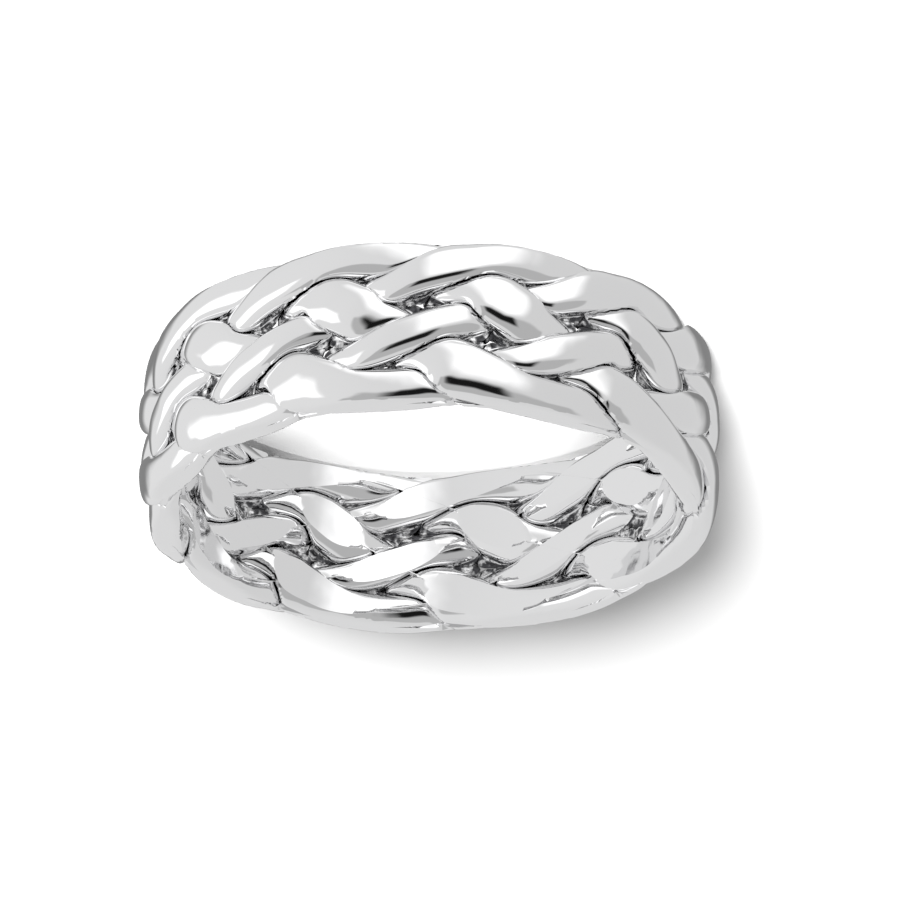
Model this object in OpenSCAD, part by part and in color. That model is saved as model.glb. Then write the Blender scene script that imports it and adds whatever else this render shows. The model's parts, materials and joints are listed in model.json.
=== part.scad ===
// Braided band ring: five flat wires woven one over, one under into a closed
// band, each wire a closed loop of its own. The band lies on its rim, its
// axis along Z and its centre at the origin. Millimetres.
// Front is -Y. Angles round the band count from the front towards +X.

/* [Band] */
// Radius of the finger hole, to the filed inner faces of the wires
bore_radius = 9.45; // [7:0.05:12]
// Width of the band along the finger, rim to rim
band_width = 6.5; // [5:0.1:7.8]
// Thickness of the band, finger hole to the crest of a wire
wall = 1.65; // [1.4:0.05:1.9]
// Clearance between two wires where they cross, in the plane of a section
gap = 0.1; // [0.09:0.01:0.15]

/* [Wires] */
// Half width of a wire's crown, as a share of half the band's width
crown_share = 0.24; // [0.22:0.005:0.27]
// Half thickness of a wire, as a share of the wall
thick_share = 0.37; // [0.34:0.005:0.38]
// Half width of the foot that closes the weave, as a share of half the band's width
foot_share = 0.43; // [0.4:0.005:0.46]
// How far the band's outer face falls away at the rims, as a share of the wall
barrel = 0.12; // [0:0.01:0.25]

/* [Weave] */
// How straight a wire runs between its turns at the rims, degrees; 90 would be a sharp zigzag
sweep = 56; // [50:1:76]
// How much flatter a wire runs where it passes over, as a share of half the band's width
wave = 0.03; // [0:0.005:0.05]
// Sideways lean of a wire's section halfway between two crossings
lean = 0.2; // [0:0.05:0.4]
// How much the weave is drawn together on one side, degrees
drawn = 6.8; // [0:0.1:8]
// How far one rim is pushed round against the other, degrees a millimetre
skew = 2.9; // [0:0.1:3.5]

/* [Hidden] */
wires = 5;
// turns along each rim, a whole number of times the wires so that each wire closes
turns = 10;
// stations round the ring, and points round a wire's section
stations = 15*turns;
points = 10;
half = band_width/2;
crown_half = crown_share*half;
foot_half = foot_share*half;
thick_half = thick_share*wall;
// height of a wire's centre above the bore: over, under, at its turn, and the mean
over = wall - thick_half;
under = 0.25*wall;
at_turn = 0.45*wall;
mean = 0.44*wall;
heights = [at_turn, over, under, over, under, at_turn];
// the foot's thickness, and how far it drops towards the mean height
foot_thick = 0.17*wall;
foot_drop = 0.85;
// distance from the rim to a wire's centre at its turn
turn_in = 0.154*half;
// where the drawn together side lies, and where the weave starts, degrees
drawn_at = 47;
start = 16.3;
// sharpness of the crown, and of the corners between a section's limits
crown_power = 2.4;
blend = 10;
// least value of a limit, for the sides that face away from it
least = 0.000001;

function frac(x) = x - floor(x);

// height of the centre above the bore; phase counts whole zigzags of one wire
function height(phase) =
    let (x = 5*frac(2*phase), i = min(4, floor(x)), t = x - i,
         s = i == 0 ? sin(90*t) : i == 4 ? 1 - cos(90*t) : (1 - cos(180*t))/2)
    heights[i] + (heights[i + 1] - heights[i])*s;

// distance of the centre from the band's middle plane
function sway(phase) =
    let (x = 5*frac(2*phase), side = frac(phase) < 0.5 ? 1 : -1)
    side*wave*half*sin(180*x)*sin(36*x)
    - (half - turn_in)*asin(sin(sweep)*cos(360*phase))/sweep;

// lean of every section at this phase, the same for all wires at one station
function lean_at(phase) = -lean*sin(360*wires*phase);

// centre of a wire in the leaning frame of its station: [along Z, above the bore]
function centre(phase, slope) = [sway(phase) + slope*(height(phase) - mean), height(phase)];

// directions of the section's points from its centre; two lie on the tips of the foot
function direction(i, tip) =
    let (h = points/2)
    i < h ? tip + i/h*(180 - 2*tip) : 180 - tip + (i - h)/h*(180 + 2*tip);

// 1/distance to the edge of the crown along a direction
function crown_inverse(u) =
    pow(pow(abs(u[0])/crown_half, crown_power) + pow(abs(u[1])/thick_half, crown_power), 1/crown_power);

// distance to the edge of the foot, an ellipse whose centre lies drop higher
function foot_reach(u, drop) =
    let (a = pow(u[0]/foot_half, 2) + pow(u[1]/foot_thick, 2),
         b = -2*u[1]*drop/pow(foot_thick, 2),
         c = pow(drop/foot_thick, 2) - 1)
    (-b + sqrt(b*b - 4*a*c))/(2*a);

// 1/distance to the plane midway to a neighbour whose centre lies d away
function neighbour_inverse(u, d) =
    let (e = [d[0]/crown_half, d[1]/thick_half], f = [u[0]/crown_half, u[1]/thick_half])
    max((e*f)/((e*e)/2*(1 - gap/norm(d))), least);

function power_sum(v, i = 0) = i == len(v) ? 0 : pow(v[i], blend) + power_sum(v, i + 1);

// one point of a wire's section: [along Z, above the bore]; c is the centre, z its unleaned place
function section_point(u, phase, slope, c, z) =
    let (drop = -(c[1] - mean)*foot_drop,
         body = pow(pow(crown_inverse(u), -blend) + pow(foot_reach(u, drop), blend), 1/blend),
         along = u[0] - slope*u[1],
         limits = concat([1/body],
             [for (k = [1:wires - 1]) neighbour_inverse(u, centre(phase + k/wires, slope) - c)],
             [max(along/(half - z), least), max(-along/(half + z), least),
              max(u[1]/(wall - c[1]), least)]),
         r = pow(power_sum(limits), -1/blend),
         p = c + r*u)
    [p[0] - slope*(p[1] - mean), p[1]];

// place a section point round the ring: turn is the even angle of its station
function placed(p, turn) =
    let (radius = bore_radius + p[1]*(1 - barrel*pow(p[0]/half, 2)),
         angle = turn + drawn*cos(turn + drawn_at) + skew*p[0]*cos(turn))
    [radius*sin(angle), -radius*cos(angle), p[0]];

// the section of one wire at a station
function section(number, turn) =
    let (phase = (turn - start)*turns/wires/360 + number/wires,
         slope = lean_at(phase),
         c = centre(phase, slope),
         z = sway(phase),
         tip = atan2(-(c[1] - mean)*foot_drop, foot_half))
    [for (i = [0:points - 1])
        let (a = direction(i, tip), u = [cos(a), sin(a)])
        placed(section_point(u, phase, slope, c, z), turn)];

// two triangles of a four-sided patch, split along its shorter diagonal
function patch(dots, a, b, c, d) =
    norm(dots[a] - dots[c]) <= norm(dots[b] - dots[d])
    ? [[a, b, c], [a, c, d]]
    : [[a, b, d], [b, c, d]];

// one closed wire, with its inner faces filed to the finger hole
module wire(number) {
    dots = [for (j = [0:stations - 1]) each section(number, start + (j + 0.25)*360/stations)];
    sides = [for (j = [0:stations - 1]) for (i = [0:points - 1])
        let (this = j*points, next = ((j + 1)%stations)*points, k = (i + 1)%points)
        each patch(dots, this + k, this + i, next + i, next + k)];
    difference() {
        polyhedron(points = dots, faces = sides, convexity = 8);
        cylinder(h = band_width + 2, r = bore_radius, center = true, $fn = 180);
    }
}

module strand_1() { color([0.84, 0.84, 0.85]) wire(0); }
module strand_2() { color([0.84, 0.84, 0.85]) wire(1); }
module strand_3() { color([0.84, 0.84, 0.85]) wire(2); }
module strand_4() { color([0.84, 0.84, 0.85]) wire(3); }
module strand_5() { color([0.84, 0.84, 0.85]) wire(4); }

strand_1();
strand_2();
strand_3();
strand_4();
strand_5();
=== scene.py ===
"""Braided band ring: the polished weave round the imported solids, and its stage."""

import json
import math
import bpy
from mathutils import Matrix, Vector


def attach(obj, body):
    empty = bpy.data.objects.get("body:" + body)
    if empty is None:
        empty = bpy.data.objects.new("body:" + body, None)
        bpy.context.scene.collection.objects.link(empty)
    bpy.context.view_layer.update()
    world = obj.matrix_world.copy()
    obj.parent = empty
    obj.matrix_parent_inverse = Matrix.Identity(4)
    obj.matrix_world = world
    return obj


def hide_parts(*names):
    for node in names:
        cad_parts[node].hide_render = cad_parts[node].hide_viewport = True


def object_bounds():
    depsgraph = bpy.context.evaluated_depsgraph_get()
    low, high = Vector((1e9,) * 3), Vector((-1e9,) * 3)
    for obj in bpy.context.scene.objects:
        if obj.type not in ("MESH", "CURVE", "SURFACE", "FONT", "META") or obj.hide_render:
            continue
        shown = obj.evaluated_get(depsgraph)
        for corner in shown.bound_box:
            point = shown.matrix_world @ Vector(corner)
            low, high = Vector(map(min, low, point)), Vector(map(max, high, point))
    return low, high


bl_info = {
    "name": "Braided Band Ring",
    "version": (1, 0, 0),
    "blender": (4, 5, 0),
    "location": "3D View > Sidebar > Braided Ring",
    "description": "Weaves a polished band ring from five wires and lights it on a pale floor",
    "category": "Object",
}

import bmesh
import bpy
import numpy as np
from mathutils import Matrix, Vector, noise

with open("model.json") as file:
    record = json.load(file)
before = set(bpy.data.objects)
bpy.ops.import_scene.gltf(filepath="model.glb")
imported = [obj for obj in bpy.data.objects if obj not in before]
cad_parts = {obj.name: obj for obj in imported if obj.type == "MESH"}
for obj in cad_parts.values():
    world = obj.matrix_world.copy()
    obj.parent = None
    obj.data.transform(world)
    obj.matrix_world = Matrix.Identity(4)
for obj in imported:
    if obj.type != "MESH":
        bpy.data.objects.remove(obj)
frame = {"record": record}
CAD_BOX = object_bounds()

MM = 0.001
BORE = next(m for m in frame["record"]["mounts"] if m["kind"] == "bore")
BORE_RADIUS = BORE["dims"]["r_mm"]*MM
BAND_WIDTH = CAD_BOX[1].z - CAD_BOX[0].z

# closed wires, and turns of the weave along each rim
WIRES = 5
TURNS = 10
# from one turn to the next a wire crosses every other one, so its way has this many spans
SPANS = WIRES

# the parts of a wire's section, in order round it; a top and a low lie on one floor
CREST, LEFT_TOP, LEFT_LOW, LEFT_FLANK, FILED, RIGHT_FLANK, RIGHT_LOW, RIGHT_TOP = range(8)
FLOOR_TOPS = (LEFT_TOP, RIGHT_TOP)
FLOORS = (LEFT_TOP, LEFT_LOW, RIGHT_LOW, RIGHT_TOP)

# a wire widens towards a rim from this share of half the band on, and over this much of it
WIDENS_FROM = 0.4
WIDENS_OVER = 0.35
# how far out the border to the next wire is looked for, of the wire's own outline
SEARCH = 1.6
# least 1/distance of a limit that faces away, and least distance to a border, in metres
FACING_AWAY = 1e-6
LEAST_REACH = 1e-9
# steepest direction, below the horizontal, in which the filed face may begin
STEEPEST = -math.pi/2 + math.radians(1)
# a floor narrower than this is left out
LEAST_FLOOR = 0.002*MM
# each layer of grain is this much of the one before, in size and in height
FINER = 0.5
# the grain grows to its full height over this much of a floor's width
GRAIN_GROWS = 0.25
# and it is gone at this share of half the band, after fading over this much of it
GRAIN_GONE = 0.86
GRAIN_FADES = 0.1
# points nearer than this are merged where a wire's surface closes
SEAM = 0.0001*MM
# edges sharper than this are shown sharp
SHARP = math.radians(28)

# depth in a recess at which the metal begins to look as cast and to take its painted shade, and at
# which it wholly does
CAST_AND_SHADE_FROM, CAST_AND_SHADE_FULL = 0.15, 0.85
# values of the mottle between which the painted shade sets in
PAINTED_SHADE_FROM, PAINTED_SHADE_FULL = 0.32, 0.54
MOTTLE_DETAIL = 3.0
WAVER_DETAIL = 1.0
# the sockets of a mix node that hold its two colours and its result
FIRST_COLOUR, SECOND_COLOUR, MIXED_COLOUR = 6, 7, 2

# least cosine to a soft box's middle at which a direction may lie inside the box
AHEAD = 0.05
SPOT_RADIUS = 2*MM
SPOT_BLEND = 0.3
# from the middle of the floor to its edges, in metres
FLOOR_REACH = 2
PAPER_ROUGHNESS = 0.9
# the camera's sensor, in millimetres, and the nearest that it sees
SENSOR_WIDTH = 36
CLIP_START = 10*MM


def length(name, description, default):
    """A size in metres, shown in the scene's unit."""
    return bpy.props.FloatProperty(
        name=name, description=description, default=default, unit="LENGTH", precision=5
    )


def angle(name, description, degrees):
    """An angle, held in radians."""
    return bpy.props.FloatProperty(
        name=name, description=description, default=math.radians(degrees), subtype="ANGLE"
    )


def share(name, description, default):
    """A plain ratio."""
    return bpy.props.FloatProperty(
        name=name, description=description, default=default, precision=3
    )


def count(name, description, default):
    """A whole number."""
    return bpy.props.IntProperty(name=name, description=description, default=default)


def colour(name, description, default):
    """A linear colour."""
    return bpy.props.FloatVectorProperty(
        name=name, description=description, default=default, subtype="COLOR", min=0, max=1
    )


class BandSizes(bpy.types.PropertyGroup):
    """The band as a whole."""

    bore: length("Finger hole radius", "To the filed inner faces", BORE_RADIUS)
    width: length("Band width", "Rim to rim, along the finger", BAND_WIDTH)
    wall: length("Wall", "Finger hole to the crest of a wire", 1.65*MM)
    gap: length("Gap", "Clearance between two wires where they cross", 0.015*MM)
    barrel: share("Barrel", "How far the outer face falls away at the rims, of the wall", 0.12)


class WireSection(bpy.types.PropertyGroup):
    """The section of one wire."""

    crown: share("Crown", "Half width of a wire, of half the band", 0.285)
    thick: share("Crown height", "From a wire's centre out to its crest, of the wall", 0.4)
    belly: share("Belly depth", "From a wire's centre in to its belly, of the wall", 0.47)
    belly_power: share("Belly fullness", "Sharpness of the belly's outline", 1.8)
    foot: share("Foot", "Half width of the floor on either side, of half the band", 0.5)
    floor_thick: share("Floor thickness", "Half thickness of the floor, of the wall", 0.07)
    rim: share("Rim", "Greatest half width towards the rim, of the crown's", 1.5)
    grain: length("Grain", "Height of the floor's grain", 0.06*MM)
    grain_size: length("Grain size", "Size of the floor's grain", 0.2*MM)
    power: share("Fullness", "Sharpness of the crown's outline", 2.3)
    blend: share("Corner", "Sharpness of the corners between the section's limits", 12)


class WeavePattern(bpy.types.PropertyGroup):
    """The route that each wire takes."""

    start: angle("Start", "Where the weave starts, from the front", 16.3)
    sweep: angle("Sweep", "Straightness between the turns; 90 degrees is a plain zigzag", 56)
    drawn: angle("Drawn", "How much the weave is drawn together on one side", 6.8)
    drawn_at: angle("Drawn at", "The side where it is drawn together", 47)
    skew: share("Skew", "How far one rim is pushed round, in degrees a millimetre", 2.9)
    wave: share("Wave", "How much flatter a wire runs where it passes over", 0.01)
    turn_in: share("Turn in", "Rim to a wire's centre at its turn, of half the band", 0.154)
    over: share("Over", "Height of the centre where a wire passes over, of the wall", 0.6)
    under: share("Under", "Height of the centre where it passes under, of the wall", 0.32)
    at_turn: share("At the turn", "Height of the centre at the rim, of the wall", 0.45)
    mean: share("Mean", "Mean height of the wires, of the wall", 0.44)
    dwell: share("Dwell", "How much longer a wire stays level before it dives", 1.25)


class MetalFinish(bpy.types.PropertyGroup):
    """The polished metal, and the painted shade of its recesses."""

    metal: colour("Metal", "Polished white metal", (0.86, 0.86, 0.865))
    # painted shade: the colour that the deepest recesses are darkened to, in mottled patches
    painted_shade: colour("PaintedShade", "The darkest metal of the recesses", (0.07, 0.07, 0.075))
    polish: share("Polish", "Roughness where the metal is polished", 0.06)
    cast: share("As cast", "Roughness in the recesses", 0.32)
    mottle: length("Mottle", "Size of the patches of tarnish", 0.3*MM)
    waver: length("Waver", "Height of the unevenness that hand polishing leaves", 0.012*MM)
    waver_size: length("Waver size", "Size of that unevenness", 0.9*MM)


class StudioLight(bpy.types.PropertyGroup):
    """The studio that the metal mirrors, and the lamps that light the floor."""

    walls: share("Walls", "Radiance of the studio's pale walls, on the dimmer side", 0.72)
    bright_walls: share("Bright walls", "Radiance of the walls on the brighter side", 0.84)
    box_light: share("Box light", "Radiance of the soft boxes", 1.5)
    card_light: share("Card", "Radiance of the grey card", 0.5)
    slit_light: share("Slit", "Radiance of the dark gap in front of the card", 0.01)
    low_box_from: angle("Low box", "Azimuth of the low soft box, from the front", -24)
    low_box_up: angle("Low box up", "Elevation of the low soft box", -42)
    low_box_wide: angle("Low box wide", "Half width of the low soft box", 21)
    low_box_tall: angle("Low box tall", "Half height of the low soft box", 32)
    side_box_from: angle("Side box", "Azimuth of the side soft box, from the front", 75)
    side_box_up: angle("Side box up", "Elevation of the side soft box", -1)
    side_box_wide: angle("Side box wide", "Half width of the side soft box", 32)
    side_box_tall: angle("Side box tall", "Half height of the side soft box", 17)
    card_from: angle("Card from", "Azimuth of the grey card, from the front", -25)
    card_up: angle("Card up", "Elevation of the grey card", 32)
    card_wide: angle("Card wide", "Half width of the grey card", 45)
    card_tall: angle("Card tall", "Half height of the grey card", 30)
    slit_from: angle("Slit from", "Azimuth of the dark gap, from the front", -13)
    slit_up: angle("Slit up", "Elevation of the dark gap", 14)
    slit_wide: angle("Slit wide", "Half width of the dark gap", 19)
    slit_tall: angle("Slit tall", "Half height of the dark gap", 13)
    back_light: share("Back light", "Radiance of the dim wall behind the ring", 0.25)
    back_up: angle("Back up", "Elevation of the dim wall's centre", -32)
    back_wide: angle("Back wide", "Half width of the dim wall", 38)
    back_tall: angle("Back tall", "Half height of the dim wall", 26)
    hard: share("Hard edge", "Width of a hard edge, in tangents of its angle", 0.1)
    soft: share("Soft edge", "Width of a soft edge, in tangents of its angle", 0.25)
    key_from: angle("Key from", "Azimuth of the key lamp, from the front", 8)
    key_up: angle("Key up", "Elevation of the key lamp", 19)
    key_size: angle("Key size", "Angle that the key lamp fills", 14)
    key_light: share("Key light", "Strength of the key lamp", 19.5)
    down_light: share("Down light", "Power of the lamp over the finger hole", 2.9)
    down_height: length("Down height", "Height of the lamp over the finger hole", 0.2)
    floor_colour: colour("Floor", "Pale paper", (0.5, 0.5, 0.5))


class CameraView(bpy.types.PropertyGroup):
    """Where the ring is seen from."""

    distance: length("Distance", "From the camera to the ring's centre", 0.275)
    elevation: angle("Elevation", "Height of the camera over the floor, as an angle", 25.5)
    lens: bpy.props.FloatProperty(
        name="Lens", description="Focal length in millimetres", default=289.28, unit="CAMERA"
    )
    shift_across: share("Shift across", "The camera's shift, of the picture's width", 21/900)
    shift_up: share("Shift up", "The camera's shift, of the picture's width", -7/900)


class MeshDetail(bpy.types.PropertyGroup):
    """How fine the meshes are."""

    stations: count("Stations", "Sections round the ring", 900)
    crest: count("Crest", "Points on a crown's outer side", 26)
    flank: count("Flank", "Steps from a floor to the filed face", 8)
    flat: count("Flat", "Steps across a filed face", 4)
    smoothing: count("Smoothing", "Rounds of evening out between stations", 4)
    floor: count("Floor", "Points across each face of the floor", 7)


def span_place(phase):
    """Which span of its way a wire is in, and how far along it; phase counts whole zigzags."""
    return SPANS*np.mod(2*phase, 1)


def height(weave, phase):
    """Height of a wire's centre, as a share of the wall."""
    crossings = [weave.over, weave.under, weave.over, weave.under]
    knots = np.array([weave.at_turn, *crossings, weave.at_turn])
    x = span_place(phase)
    i = np.minimum(SPANS - 1, np.floor(x)).astype(int)
    t = x - i
    middle = (1 - np.cos(math.pi*np.clip(0.5 + (t - 0.5)*weave.dwell, 0, 1)))/2
    first, last = np.sin(math.pi/2*t), 1 - np.cos(math.pi/2*t)
    rise = np.where(i == 0, first, np.where(i == SPANS - 1, last, middle))
    return knots[i] + (knots[i + 1] - knots[i])*rise


def sway(weave, phase):
    """Distance of a wire's centre from the middle plane, as a share of half the band."""
    x = span_place(phase)
    swing = np.arcsin(math.sin(weave.sweep)*np.cos(2*math.pi*phase))
    base = -(1 - weave.turn_in)*swing/weave.sweep
    sign = np.where(np.mod(2*phase, 2) < 1, 1, -1)
    return base + sign*weave.wave*np.sin(math.pi*x)*np.sin(math.pi*x/SPANS)


def course(weave, sizes, phase):
    """A wire's centre at a phase, along the finger and above the bore, and the wire's slope."""
    half, wall = sizes.width/2, sizes.wall
    per_length = TURNS/WIRES/(2*math.pi)/(sizes.bore + weave.mean*wall)
    step = 1e-4
    slope = (sway(weave, phase + step) - sway(weave, phase - step))*half/(2*step)*per_length
    return sway(weave, phase)*half, height(weave, phase)*wall, slope


def outline_at(up, wire, sizes):
    """Height and sharpness of a wire's outline: the crown's above its centre, else the belly's."""
    tall = np.where(up > 0, wire.thick, wire.belly)*sizes.wall
    return tall, np.where(up > 0, wire.power, wire.belly_power)


def fullness(across, up, wire, sizes, half_width):
    """1 on the outline of a wire, less inside it."""
    tall, power = outline_at(up, wire, sizes)
    return ((abs(across)/half_width)**power + (abs(up)/tall)**power)**(1/power)


def towards(amount, reach):
    """1/distance to a limit that lies reach away, along a direction that makes amount of it."""
    return np.maximum(amount/reach, FACING_AWAY)


def bisect(inside, near, far, steps=13):
    """Farthest reach between near and far that still lies inside."""
    for _ in range(steps):
        reach = (near + far)/2
        good = inside(reach)
        near, far = np.where(good, reach, near), np.where(good, far, reach)
    return near


def smoothed(values, rounds):
    """The values with their jags between neighbouring stations evened out."""
    for _ in range(rounds):
        values = (np.roll(values, 1, 0) + 2*values + np.roll(values, -1, 0))/4
    return values


def section_parts(detail):
    """The points of a wire's section, in order: the part each lies on, and how far along it."""
    outwards = (np.arange(detail.floor) + 1)/detail.floor
    inwards = 1 - np.arange(detail.floor)/detail.floor
    flank = np.linspace(0, 1, detail.flank + 1)
    ways = {
        CREST: np.linspace(0, 1, detail.crest),
        LEFT_TOP: outwards,
        LEFT_LOW: inwards,
        LEFT_FLANK: flank[:-1],
        FILED: np.linspace(0, 1, detail.flat + 1)[:-1],
        RIGHT_FLANK: flank,
        RIGHT_LOW: outwards,
        RIGHT_TOP: inwards,
    }
    parts = [np.full(len(way), part) for part, way in ways.items()]
    return np.concatenate(parts), np.concatenate(list(ways.values()))


class WireRun:
    """Stations along one wire: turn is each one's angle round the ring."""

    def __init__(self, sizes, wire, weave, number, turn):
        self.sizes, self.wire, self.weave, self.turn = sizes, wire, weave, turn
        self.half, self.wall = sizes.width/2, sizes.wall
        self.crown = wire.crown*self.half
        self.middle = sizes.bore + weave.mean*self.wall
        self.per_turn = TURNS/WIRES/(2*math.pi)
        self.phase = (turn - weave.start)*self.per_turn + number/WIRES
        self.z, self.rise, slope = course(weave, sizes, self.phase)
        self.cos_run, self.sin_run = 1/np.hypot(1, slope), slope/np.hypot(1, slope)
        near_rim = np.clip((abs(self.z)/self.half - WIDENS_FROM)/WIDENS_OVER, 0, 1)
        widest = np.clip(self.half - abs(self.z), self.crown, wire.rim*self.crown)
        self.rim_extra = (widest - self.crown)*near_rim

    def half_width(self, side):
        """Half width of the wire on one side; it is wider towards a rim."""
        return self.crown + self.rim_extra*(side*self.z > 0)

    def own_place(self, across, up):
        """True where a point of the section lies nearer to this wire than to any other."""
        there = self.phase - across*self.sin_run/self.middle*self.per_turn
        at_z, at_y = self.z + across*self.cos_run, self.rise + up
        full = []
        for k in range(WIRES):
            cz, cy, cs = course(self.weave, self.sizes, there + k/WIRES)
            across_k = (at_z - cz)/np.hypot(1, cs)
            full.append(fullness(across_k, at_y - cy, self.wire, self.sizes, self.crown))
        return np.min(full[1:], axis=0) - full[0] > self.sizes.gap/self.crown

    def reach(self, heading):
        """Distance from the wire's centre to its outline along a direction."""
        ux, uy = np.cos(heading), np.sin(heading)
        body_inverse = fullness(ux, uy, self.wire, self.sizes, self.half_width(np.sign(ux)))
        met = bisect(
            lambda r: self.own_place(r*ux, r*uy), np.zeros_like(heading), SEARCH/body_inverse
        )
        limits = [
            body_inverse,
            1/np.maximum(met, LEAST_REACH),
            towards(ux*self.cos_run, self.half - self.z),
            towards(-ux*self.cos_run, self.half + self.z),
            towards(uy, self.wall - self.rise),
        ]
        return sum(limit**self.wire.blend for limit in limits)**(-1/self.wire.blend)

    def corner(self, side, level):
        """Direction, up from the horizontal on one side, of the outline's place at a level."""
        tall, power = outline_at(level, self.wire, self.sizes)
        wide = self.half_width(side)*(1 - (abs(level)/tall)**power)**(1/power)
        return np.arctan2(level, wide)

    def filed_corner(self, side, low):
        """Direction on one side, from low downwards, where the outline meets the finger hole."""
        def along(way):
            return low + (STEEPEST - low)*way

        def above_bore(way):
            heading = along(way)
            heading = heading if side > 0 else math.pi - heading
            return self.reach(heading)*np.sin(heading) > -self.rise

        return along(bisect(above_bore, np.zeros_like(low), np.ones_like(low)))

    def headings(self, part, way, above, below):
        """Direction from the wire's centre to each point; its floors lie from above to below."""
        right_top, right_low = self.corner(1, above), self.corner(1, below)
        left_top, left_low = self.corner(-1, above), self.corner(-1, below)
        right_filed, left_filed = self.filed_corner(1, right_low), self.filed_corner(-1, left_low)
        ends = {
            CREST: (right_top, math.pi - left_top),
            LEFT_TOP: (math.pi - left_top, math.pi - left_top),
            LEFT_LOW: (math.pi - left_low, math.pi - left_low),
            LEFT_FLANK: (math.pi - left_low, math.pi - left_filed),
            FILED: (math.pi - left_filed, 2*math.pi + right_filed),
            RIGHT_FLANK: (2*math.pi + right_filed, 2*math.pi + right_low),
            RIGHT_LOW: (right_low, right_low),
            RIGHT_TOP: (right_top, right_top),
        }
        begin, end = (np.choose(part, [pair[i] for pair in ends.values()]) for i in (0, 1))
        return begin + (end - begin)*way

    def placed(self, across, up):
        """Place in the ring of a point across the wire and up from its centre."""
        z = self.z + across*self.cos_run
        radius = self.sizes.bore + (self.rise + up)*(1 - self.sizes.barrel*(z/self.half)**2)
        turned = self.turn - across*self.sin_run/self.middle
        bearing = turned + self.weave.drawn*np.cos(turned + self.weave.drawn_at)
        bearing += math.radians(self.weave.skew)*z/MM*np.cos(turned)
        return np.stack([radius*np.sin(bearing), -radius*np.cos(bearing), z], -1)


def wire_surface(sizes, wire, weave, detail, number):
    """Places of a wire's points, a row for each station, and how deep each lies in a recess."""
    part, way = section_parts(detail)
    turn = 2*math.pi*np.arange(detail.stations)[:, None]/detail.stations
    run = WireRun(sizes, wire, weave, number, turn)
    floor = wire.floor_thick*sizes.wall
    above = weave.mean*sizes.wall + floor - run.rise
    below = above - 2*floor
    heading = run.headings(part, way, above, below)
    ux, uy = np.cos(heading), np.sin(heading)
    reach = smoothed(run.reach(heading), detail.smoothing)
    reach = np.minimum(reach, 1/towards(-uy, run.rise))
    px, py = reach*ux, reach*uy

    # the floors run out to the next wire, or as far as the foot may
    side = np.where(part < FILED, -1, 1)
    level = np.where(np.isin(part, FLOOR_TOPS), above, below)
    most = np.minimum(wire.foot*run.half, (run.half - side*run.z)/run.cos_run)
    edge = bisect(lambda r: run.own_place(side*r, level), abs(px), np.maximum(most, abs(px)))
    has_floor = np.isin(part, FLOORS) & (edge > abs(px) + LEAST_FLOOR)
    px = smoothed(np.where(has_floor, px + (side*edge - px)*way, px), detail.smoothing)
    py = smoothed(np.where(has_floor, py + (level - py)*way, py), detail.smoothing)
    py = np.where(part == FILED, -run.rise, np.maximum(py, -run.rise))

    grain = np.zeros_like(py)
    for at, dot in zip(np.argwhere(has_floor), run.placed(px, py)[has_floor]/wire.grain_size):
        grain[tuple(at)] = noise.noise(Vector(dot)) + FINER*noise.noise(Vector(dot/FINER))
    near_rim = abs(run.z + px*run.cos_run)/run.half
    fade = np.minimum(1, way/GRAIN_GROWS)*np.clip((GRAIN_GONE - near_rim)/GRAIN_FADES, 0, 1)
    return run.placed(px, py + grain*wire.grain*fade), has_floor*fade


def sleeve(stations, points):
    """A grid whose sides meet once its points are placed, and each vertex's station and point."""
    bm = bmesh.new()
    # it runs from 0 to 1 both ways, and 1 counts as 0 again
    bmesh.ops.create_grid(bm, x_segments=stations, y_segments=points, size=0.5)
    bmesh.ops.translate(bm, vec=(0.5, 0.5, 0), verts=bm.verts)
    shape = (stations, points)
    at = np.rint(np.array([vert.co.xy for vert in bm.verts])*shape).astype(int) % shape
    return bm, tuple(at.T)


def wire_mesh(name, places, deep):
    """A closed wire through the places; deep is kept for the rough finish and the painted shade of
    its recesses.
    """
    bm, at = sleeve(*deep.shape)
    recess = bm.verts.layers.float.new("recess")
    for vert, place, depth in zip(bm.verts, places[at], deep[at]):
        vert.co = place
        vert[recess] = depth
    open_side = [vert for vert in bm.verts if vert.is_boundary]
    bmesh.ops.remove_doubles(bm, verts=open_side, dist=SEAM)
    for face in bm.faces:
        face.smooth = True
    bmesh.ops.recalc_face_normals(bm, faces=bm.faces)
    mesh = bpy.data.meshes.new(name)
    bm.to_mesh(mesh)
    bm.free()
    mesh.set_sharp_from_angle(angle=SHARP)
    return mesh


def add_object(name, data):
    """A new object of the scene."""
    thing = bpy.data.objects.new(name, data)
    bpy.context.scene.collection.objects.link(thing)
    return thing


class Nodes:
    """Adds nodes to a tree and wires them up; an input is a value or another node's output."""

    def __init__(self, tree):
        self.tree = tree

    def join(self, socket, value):
        if isinstance(value, bpy.types.NodeSocket):
            self.tree.links.new(value, socket)
        else:
            socket.default_value = value

    def add(self, kind, *inputs, **settings):
        node = self.tree.nodes.new(kind)
        for name, value in settings.items():
            setattr(node, name, value)
        for socket, value in zip(node.inputs, inputs):
            self.join(socket, value)
        return node

    def math(self, operation, *inputs):
        return self.add("ShaderNodeMath", *inputs, operation=operation).outputs[0]

    def ramp(self, value, low, high, to_low=0.0, to_high=1.0):
        node = self.add(
            "ShaderNodeMapRange", value, low, high, to_low, to_high,
            interpolation_type="SMOOTHSTEP",
        )
        return node.outputs[0]

    def noise(self, vector, scale, detail):
        node = self.add("ShaderNodeTexNoise")
        self.join(node.inputs["Vector"], vector)
        self.join(node.inputs["Scale"], scale)
        self.join(node.inputs["Detail"], detail)
        return node.outputs["Fac"]

    def mix(self, amount, first, second):
        node = self.add("ShaderNodeMix", data_type="RGBA")
        self.join(node.inputs["Factor"], amount)
        self.join(node.inputs[FIRST_COLOUR], first)
        self.join(node.inputs[SECOND_COLOUR], second)
        return node.outputs[MIXED_COLOUR]


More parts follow.
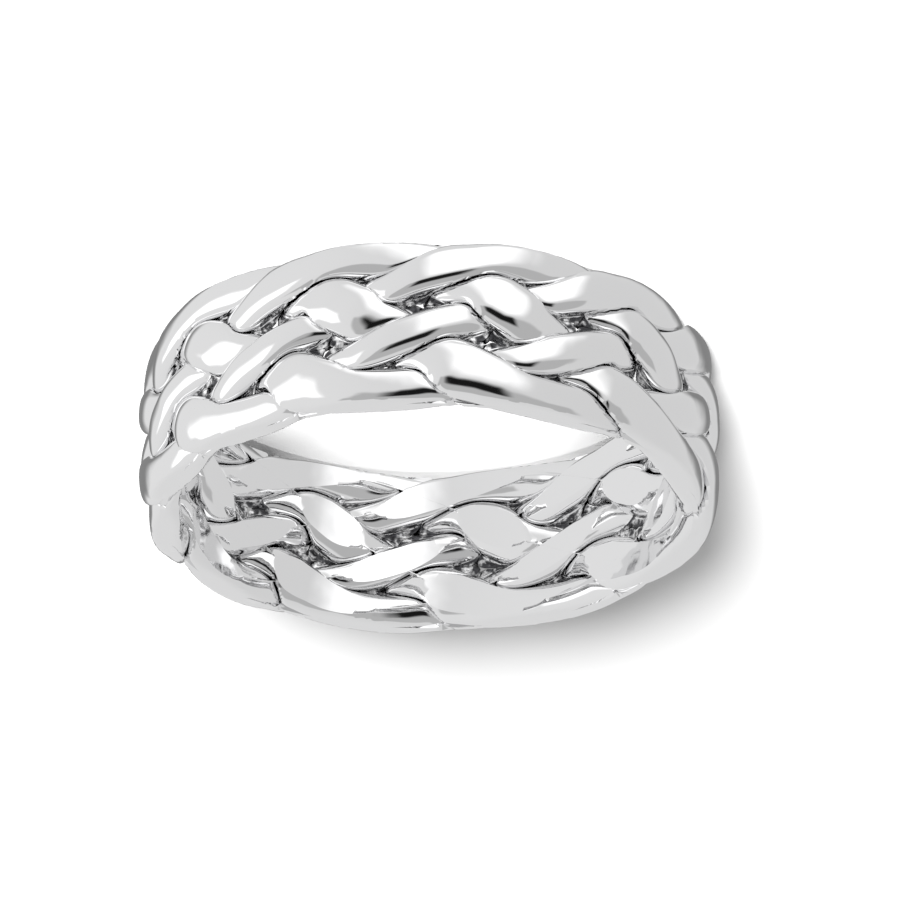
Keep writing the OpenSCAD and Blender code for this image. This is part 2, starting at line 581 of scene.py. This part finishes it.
def metal_material(finish):
    """Polished white metal; the recesses are rough as cast, with painted shade in mottled patches.
    """
    mat = bpy.data.materials.new("white_metal")
    mat.use_nodes = True
    nodes = Nodes(mat.node_tree)
    shader = mat.node_tree.nodes["Principled BSDF"]
    recess = nodes.add("ShaderNodeAttribute", attribute_name="recess").outputs["Fac"]
    place = nodes.add("ShaderNodeTexCoord").outputs["Object"]
    deep = nodes.ramp(recess, CAST_AND_SHADE_FROM, CAST_AND_SHADE_FULL)
    mottle = nodes.noise(place, 1/finish.mottle, MOTTLE_DETAIL)
    # painted shade: deep in the recesses the metal colour is darkened, in patches set by the
    # mottle noise
    dark = nodes.math("MULTIPLY", deep, nodes.ramp(mottle, PAINTED_SHADE_FROM, PAINTED_SHADE_FULL))
    metal_and_painted_shade = nodes.mix(dark, (*finish.metal, 1), (*finish.painted_shade, 1))
    nodes.join(shader.inputs["Metallic"], 1)
    nodes.join(shader.inputs["Base Color"], metal_and_painted_shade)
    nodes.join(shader.inputs["Roughness"], nodes.ramp(deep, 0, 1, finish.polish, finish.cast))
    waver = nodes.add("ShaderNodeBump")
    nodes.join(waver.inputs["Strength"], 1)
    nodes.join(waver.inputs["Distance"], finish.waver)
    nodes.join(waver.inputs["Height"], nodes.noise(place, 1/finish.waver_size, WAVER_DETAIL))
    nodes.join(shader.inputs["Normal"], waver.outputs["Normal"])
    return mat


def paper_material(studio):
    """Dull pale paper."""
    mat = bpy.data.materials.new("paper")
    mat.use_nodes = True
    shader = mat.node_tree.nodes["Principled BSDF"]
    shader.inputs["Base Color"].default_value = (*studio.floor_colour, 1)
    shader.inputs["Roughness"].default_value = PAPER_ROUGHNESS
    shader.inputs["Specular IOR Level"].default_value = 0
    return mat


def window(nodes, direction, azimuth, elevation, wide, tall, softness):
    """1 inside a soft edged rectangle of the studio, 0 outside.

    Its azimuth counts from the front towards +X."""
    ahead_of_it = Vector((
        math.cos(elevation)*math.sin(azimuth),
        -math.cos(elevation)*math.cos(azimuth),
        math.sin(elevation),
    ))
    right = Vector((math.cos(azimuth), math.sin(azimuth), 0))
    up = right.cross(ahead_of_it)

    def along(axis):
        dot = nodes.add("ShaderNodeVectorMath", direction, tuple(axis), operation="DOT_PRODUCT")
        return dot.outputs["Value"]

    ahead = along(ahead_of_it)
    inside = nodes.math("GREATER_THAN", ahead, AHEAD)
    for axis, reach in ((right, wide), (up, tall)):
        off = nodes.math("ABSOLUTE", nodes.math("DIVIDE", along(axis), ahead))
        edge = math.tan(reach)
        within = nodes.ramp(off, edge - softness, edge + softness, 1.0, 0.0)
        inside = nodes.math("MULTIPLY", inside, within)
    return inside


def studio_world(studio):
    """Pale walls, a dim wall behind, a grey card, a dark gap and two soft boxes."""
    world = bpy.data.worlds.new("studio")
    world.use_nodes = True
    nodes = Nodes(world.node_tree)
    direction = nodes.add("ShaderNodeTexCoord").outputs["Generated"]
    sideways = nodes.add("ShaderNodeSeparateXYZ", direction).outputs["X"]
    light = nodes.ramp(sideways, -1, 1, studio.walls, studio.bright_walls)
    # each one hides those before it
    for name, azimuth, softness, radiance in (
        ("back", math.pi, studio.soft, studio.back_light),
        ("card", studio.card_from, studio.hard, studio.card_light),
        ("slit", studio.slit_from, studio.hard, studio.slit_light),
        ("low_box", studio.low_box_from, studio.soft, studio.box_light),
        ("side_box", studio.side_box_from, studio.hard, studio.box_light),
    ):
        up, wide, tall = (getattr(studio, f"{name}_{size}") for size in ("up", "wide", "tall"))
        amount = window(nodes, direction, azimuth, up, wide, tall, softness)
        light = nodes.add("ShaderNodeMapRange", amount, 0, 1, light, radiance).outputs[0]
    background = world.node_tree.nodes["Background"]
    nodes.join(background.inputs["Color"], (1, 1, 1, 1))
    nodes.join(background.inputs["Strength"], light)
    return world


def hang_lamp(name, kind, power):
    """A lamp for the floor alone: the metal mirrors the studio instead."""
    hung = add_object(name, bpy.data.lights.new(name, kind))
    hung.data.energy = power
    hung.visible_glossy = False
    return hung


def hang_key(studio):
    """The lamp that casts the ring's shadow."""
    key = hang_lamp("key", "SUN", studio.key_light)
    key.data.angle = studio.key_size
    key.rotation_euler = (math.pi/2 - studio.key_up, 0, studio.key_from)


def hang_down(studio, radius):
    """A spot lamp straight above the finger hole, for the floor inside it."""
    down = hang_lamp("down", "SPOT", studio.down_light)
    down.data.shadow_soft_size, down.data.spot_blend = SPOT_RADIUS, SPOT_BLEND
    down.data.spot_size = 2*math.atan(radius/studio.down_height)
    down.location = (0, 0, studio.down_height)


def lay_floor(studio):
    """Pale paper under the ring, left out of what the metal mirrors."""
    bm = bmesh.new()
    bmesh.ops.create_grid(bm, x_segments=1, y_segments=1, size=FLOOR_REACH)
    bmesh.ops.translate(bm, vec=(0, 0, CAD_BOX[0].z), verts=bm.verts)
    mesh = bpy.data.meshes.new("floor")
    bm.to_mesh(mesh)
    bm.free()
    mesh.materials.append(paper_material(studio))
    floor = add_object("floor", mesh)
    floor.visible_glossy = False


def set_camera(view):
    """A camera rolled half a turn: the rim on the floor is the upper one in the picture."""
    camera = add_object("camera", bpy.data.cameras.new("camera"))
    back = Vector((0, -math.cos(view.elevation), math.sin(view.elevation)))
    up = -Vector((0, math.sin(view.elevation), math.cos(view.elevation)))
    right = (-back).cross(up)
    camera.location = back*view.distance
    camera.rotation_mode = "QUATERNION"
    camera.rotation_quaternion = Matrix((right, up, back)).transposed().to_quaternion()
    camera.data.sensor_width = SENSOR_WIDTH
    camera.data.lens = view.lens
    camera.data.shift_x, camera.data.shift_y = view.shift_across, view.shift_up
    camera.data.clip_start = CLIP_START
    bpy.context.scene.camera = camera


class RING_OT_weave(bpy.types.Operator):
    """Weave the five wires of the band, each in place of its solid"""

    bl_idname = "ring.weave"
    bl_label = "Weave the Wires"

    def execute(self, context):
        scene = context.scene
        metal = metal_material(scene.ring_metal)
        for number in range(WIRES):
            places, deep = wire_surface(
                scene.ring_sizes, scene.ring_wire, scene.ring_weave, scene.ring_detail, number
            )
            name = f"wire_{number + 1}"
            piece = add_object(name, wire_mesh(name, places, deep))
            piece.data.materials.append(metal)
            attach(piece, "root")
            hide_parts(f"strand_{number + 1}")
        return {"FINISHED"}


class RING_OT_stage(bpy.types.Operator):
    """Lay the floor, hang the lights and set the camera"""

    bl_idname = "ring.stage"
    bl_label = "Set the Stage"

    def execute(self, context):
        scene = context.scene
        studio = scene.ring_studio
        lay_floor(studio)
        scene.world = studio_world(studio)
        hang_key(studio)
        hang_down(studio, scene.ring_sizes.bore)
        scene.view_settings.view_transform = "Standard"
        set_camera(scene.ring_camera)
        return {"FINISHED"}


GROUPS = {
    "ring_sizes": BandSizes,
    "ring_wire": WireSection,
    "ring_weave": WeavePattern,
    "ring_metal": MetalFinish,
    "ring_studio": StudioLight,
    "ring_camera": CameraView,
    "ring_detail": MeshDetail,
}
OPERATORS = (RING_OT_weave, RING_OT_stage)


class RING_PT_panel(bpy.types.Panel):
    """The ring's sizes and its steps"""

    bl_label = "Braided Ring"
    bl_space_type = "VIEW_3D"
    bl_region_type = "UI"
    bl_category = "Braided Ring"

    def draw(self, context):
        for operator in OPERATORS:
            self.layout.operator(operator.bl_idname)
        for name, group in GROUPS.items():
            box = self.layout.box()
            for prop in group.__annotations__:
                box.prop(getattr(context.scene, name), prop)


def register():
    for name, group in GROUPS.items():
        bpy.utils.register_class(group)
        setattr(bpy.types.Scene, name, bpy.props.PointerProperty(type=group))
    for each in (*OPERATORS, RING_PT_panel):
        bpy.utils.register_class(each)


def unregister():
    for each in (RING_PT_panel, *reversed(OPERATORS)):
        bpy.utils.unregister_class(each)
    for name, group in reversed(list(GROUPS.items())):
        delattr(bpy.types.Scene, name)
        bpy.utils.unregister_class(group)


def main():
    register()
    bpy.ops.ring.weave()
    bpy.ops.ring.stage()


if __name__ == "__main__":
    main()
